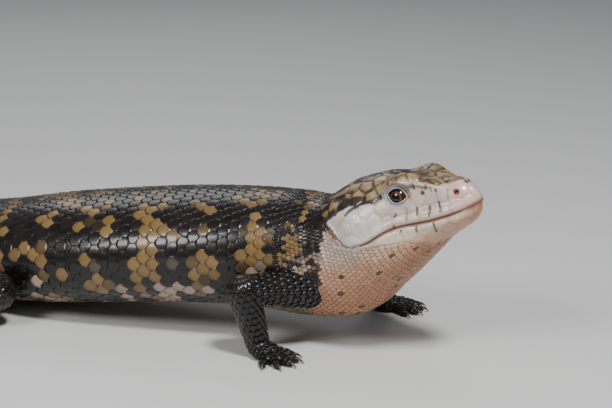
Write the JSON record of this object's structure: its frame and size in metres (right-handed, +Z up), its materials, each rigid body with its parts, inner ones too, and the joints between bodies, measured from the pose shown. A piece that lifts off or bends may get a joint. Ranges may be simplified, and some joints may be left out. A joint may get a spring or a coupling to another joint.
{
  "type": "blue tongued skink",
  "caption": "Still, life-size blue tongued skink resting on belly, tail and four short legs, head raised; display figure of a large glossy lizard.",
  "frame": {"origin": "on the floor, under the middle of the model's box", "axes": "+X along the body towards the head, +Y to the animal's left, +Z up"},
  "size_m": [0.4558, 0.1363, 0.0738],
  "materials": {
    "head_skin": "smooth shields, slightly glossy",
    "body_scales": "glossy overlapping scales, dark with tan cross bands",
    "leg_scales": "glossy dark scales",
    "eye": "wet gloss",
    "claw": "smooth horn"
  },
  "bodies": {
    "root": {"head": "head_skin", "eye_left": "eye", "eye_right": "eye", "neck": "head_skin", "torso": "body_scales", "tail_root": "body_scales", "tail_middle": "body_scales", "tail_end": "body_scales", "foreleg_right_upper": "leg_scales", "foreleg_right_lower": "leg_scales", "foreleg_right_foot": "leg_scales", "foreleg_left_upper": "leg_scales", "foreleg_left_lower": "leg_scales", "foreleg_left_foot": "leg_scales", "hindleg_right_upper": "leg_scales", "hindleg_right_lower": "leg_scales", "hindleg_right_foot": "leg_scales", "hindleg_left_upper": "leg_scales", "hindleg_left_lower": "leg_scales", "hindleg_left_foot": "leg_scales"}
  },
  "joints": []
}
